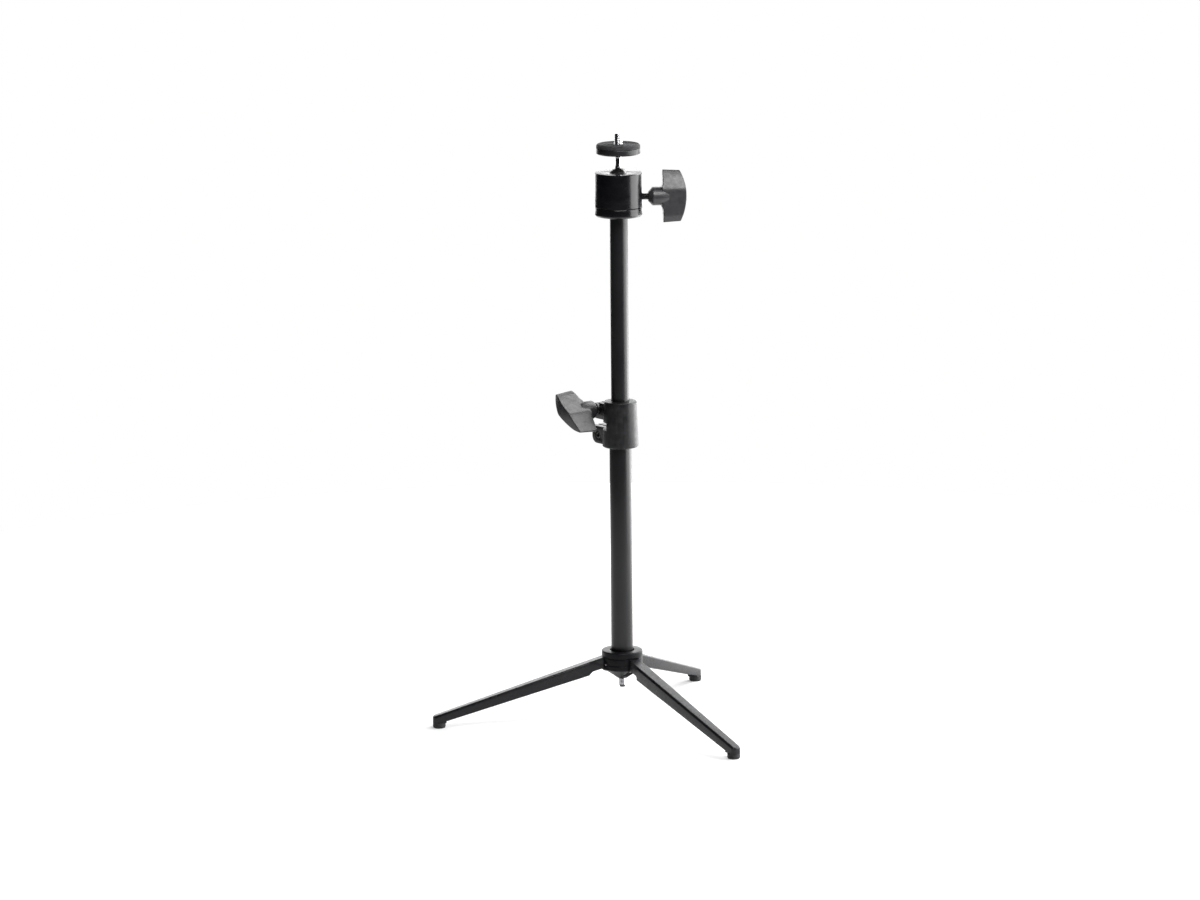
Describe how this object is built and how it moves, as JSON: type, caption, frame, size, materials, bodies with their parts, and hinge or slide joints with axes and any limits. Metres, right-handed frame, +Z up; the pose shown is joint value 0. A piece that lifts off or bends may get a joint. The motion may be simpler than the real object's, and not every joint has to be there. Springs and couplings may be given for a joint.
{
  "type": "tabletop tripod",
  "caption": "Small black tabletop tripod with folding legs, a two-section clamped column and a lockable ball head with a camera screw.",
  "frame": {"origin": "on the desk, under the middle of the box around the tripod as it stands; the column axis is 33.6 mm along +X from it", "axes": "+Z up along the column, +X from the left leg towards the ball head's wing knob, +Y to the back"},
  "size_m": [0.2111, 0.2426, 0.4342],
  "materials": {
    "hub_metal": "black anodised, satin",
    "leg_metal": "black powder coat, satin",
    "tube_metal": "black anodised, satin",
    "head_metal": "black anodised, gloss",
    "plate_metal": "black anodised, gloss",
    "bright_steel": "nickel plated, polished",
    "dark_steel": "black oxide",
    "pin_steel": "ground",
    "collar_plastic": "moulded, satin",
    "knob_plastic": "moulded, fine grain",
    "plug_aluminium": "plain turned",
    "nylon": "natural",
    "brass": "turned",
    "foot_rubber": "moulded, matte",
    "pad_rubber": "moulded, matte"
  },
  "bodies": {
    "base": {"hub_upper": "hub_metal", "hub_lower": "hub_metal", "hub_centre_stud": "bright_steel", "leg_pin_left": "pin_steel", "leg_pin_front": "pin_steel", "leg_pin_back": "pin_steel", "lower_tube": "tube_metal", "lower_tube_plug": "plug_aluminium", "clamp_collar": "collar_plastic", "clamp_nut": "dark_steel", "collar_fixing_screw": "dark_steel"},
    "leg_left": {"leg_left": "leg_metal", "foot_pad_left": "foot_rubber"},
    "leg_front": {"leg_front": "leg_metal", "foot_pad_front": "foot_rubber"},
    "leg_back": {"leg_back": "leg_metal", "foot_pad_back": "foot_rubber"},
    "column_bush": {"column_guide_bush": "nylon"},
    "column": {"upper_tube": "tube_metal", "column_top_stud": "pin_steel", "head_base_ring": "head_metal", "head_housing": "head_metal", "ball_seat": "nylon"},
    "clamp_washer": {"clamp_washer": "dark_steel"},
    "clamp_knob": {"clamp_screw": "dark_steel", "clamp_wing_knob": "knob_plastic"},
    "head_lock_pad": {"head_lock_pad": "brass"},
    "head_knob": {"head_lock_screw": "dark_steel", "head_wing_knob": "knob_plastic"},
    "ball": {"ball": "dark_steel"},
    "stem": {"ball_stem": "bright_steel"},
    "plate": {"camera_plate": "plate_metal", "plate_pad": "pad_rubber", "camera_stud": "bright_steel"}
  },
  "joints": [
    {"name": "leg_left_fold", "type": "hinge", "parent": "base", "child": "leg_left", "pos_m": [0.0221, 0, 0.0445], "axis": [0, -1, 0], "range_deg": [0, 71]},
    {"name": "leg_front_fold", "type": "hinge", "parent": "base", "child": "leg_front", "pos_m": [0.03935, -0.00996, 0.0445], "axis": [0.866, 0.5, 0], "range_deg": [0, 71]},
    {"name": "leg_back_fold", "type": "hinge", "parent": "base", "child": "leg_back", "pos_m": [0.03935, 0.00996, 0.0445], "axis": [-0.866, 0.5, 0], "range_deg": [0, 71]},
    {"name": "column_slide", "type": "slide", "parent": "base", "child": "column_bush", "axis": [0, 0, 1], "range_m": [-0.118, 0]},
    {"name": "column_turn", "type": "hinge", "parent": "column_bush", "child": "column", "pos_m": [0.0336, 0, 0.2389], "axis": [0, 0, 1], "continuous": true},
    {"name": "clamp_screw_travel", "type": "slide", "parent": "base", "child": "clamp_washer", "axis": [-0.829, -0.5592, 0], "range_m": [0, 0.0012]},
    {"name": "clamp_knob_turn", "type": "hinge", "parent": "clamp_washer", "child": "clamp_knob", "pos_m": [0.02264, 0.01625, 0.231], "axis": [-0.829, -0.5592, 0], "range_deg": [0, 540]},
    {"name": "lock_screw_travel", "type": "slide", "parent": "column", "child": "head_lock_pad", "axis": [1, 0, 0], "range_m": [0, 0.0012]},
    {"name": "lock_knob_turn", "type": "hinge", "parent": "head_lock_pad", "child": "head_knob", "pos_m": [0.0336, 0, 0.388], "axis": [1, 0, 0], "range_deg": [0, 540]},
    {"name": "ball_pan", "type": "hinge", "parent": "column", "child": "ball", "pos_m": [0.0336, 0, 0.4013], "axis": [0, 0, 1], "continuous": true},
    {"name": "ball_tilt", "type": "hinge", "parent": "ball", "child": "stem", "pos_m": [0.0336, 0, 0.4013], "axis": [0, 1, 0], "range_deg": [-34, 34]},
    {"name": "plate_turn", "type": "hinge", "parent": "stem", "child": "plate", "pos_m": [0.0336, 0, 0.4193], "axis": [0, 0, 1], "continuous": true}
  ],
  "couplings": [
    {"joint": "clamp_knob_turn", "follows": "clamp_screw_travel", "rad_per_m": 7853.9},
    {"joint": "lock_knob_turn", "follows": "lock_screw_travel", "rad_per_m": 7853.9}
  ]
}
